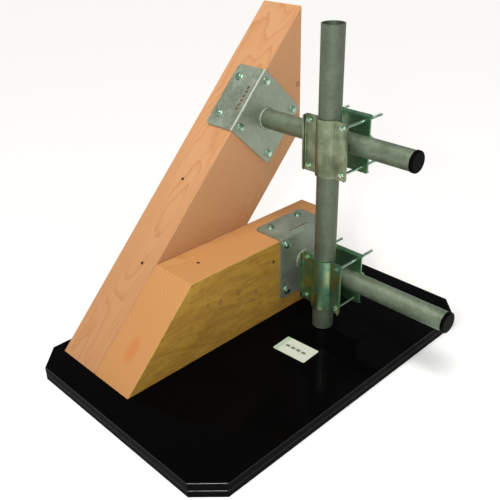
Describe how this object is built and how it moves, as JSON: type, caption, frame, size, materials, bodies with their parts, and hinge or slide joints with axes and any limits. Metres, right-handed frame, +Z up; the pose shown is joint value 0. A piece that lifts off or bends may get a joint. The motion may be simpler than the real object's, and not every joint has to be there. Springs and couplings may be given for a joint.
{
  "type": "mast clamp demonstration stand",
  "caption": "Display stand: a timber heel joint on a black board carries bracket arms that hold an upright tube in cross clamps.",
  "frame": {"origin": "centre of the base board's underside", "axes": "+Z up, +X along the timber from the rafter's foot to the tie's end, -Y from the timber towards the mast"},
  "size_m": [0.842, 0.676, 0.723],
  "materials": {
    "lacquered_board": "gloss black lacquer",
    "sawn_softwood": "planed, unfinished",
    "label_card": "matt",
    "cap_plastic": "moulded",
    "galvanised_plate": "hot-dip galvanised",
    "galvanised_tube": "hot-dip galvanised",
    "zinc_saddle": "zinc plated and passivated",
    "zinc_fastener": "zinc plated",
    "steel_screw": "dull"
  },
  "bodies": {
    "stand": {"base_lower_board": "lacquered_board", "base_top_board": "lacquered_board", "base_screws": "steel_screw", "label_plate": "label_card", "rafter": "sawn_softwood", "tie_beam": "sawn_softwood", "heel_screws": "steel_screw", "face_nails": "steel_screw", "upper_bracket_plate": "galvanised_plate", "upper_bracket_screws": "zinc_fastener", "upper_arm_tube": "galvanised_tube", "upper_arm_weld": "galvanised_tube", "upper_arm_cap": "cap_plastic", "lower_bracket_plate": "galvanised_plate", "lower_bracket_screws": "zinc_fastener", "lower_arm_tube": "galvanised_tube", "lower_arm_weld": "galvanised_tube", "lower_arm_cap": "cap_plastic"},
    "clamps": {"upper_front_saddle": "zinc_saddle", "upper_rear_saddle": "zinc_saddle", "upper_clamp_bolts": "zinc_fastener", "upper_clamp_washers": "zinc_fastener", "upper_clamp_nuts": "zinc_fastener", "lower_front_saddle": "zinc_saddle", "lower_rear_saddle": "zinc_saddle", "lower_clamp_bolts": "zinc_fastener", "lower_clamp_washers": "zinc_fastener", "lower_clamp_nuts": "zinc_fastener"},
    "mast": {"mast_tube": "galvanised_tube"}
  },
  "joints": [
    {"name": "clamp_slide", "type": "slide", "parent": "stand", "child": "clamps", "axis": [0, 1, 0], "range_m": [-0.11, 0.028]},
    {"name": "mast_slide", "type": "slide", "parent": "clamps", "child": "mast", "axis": [0, 0, 1], "range_m": [0, 0.05]}
  ]
}
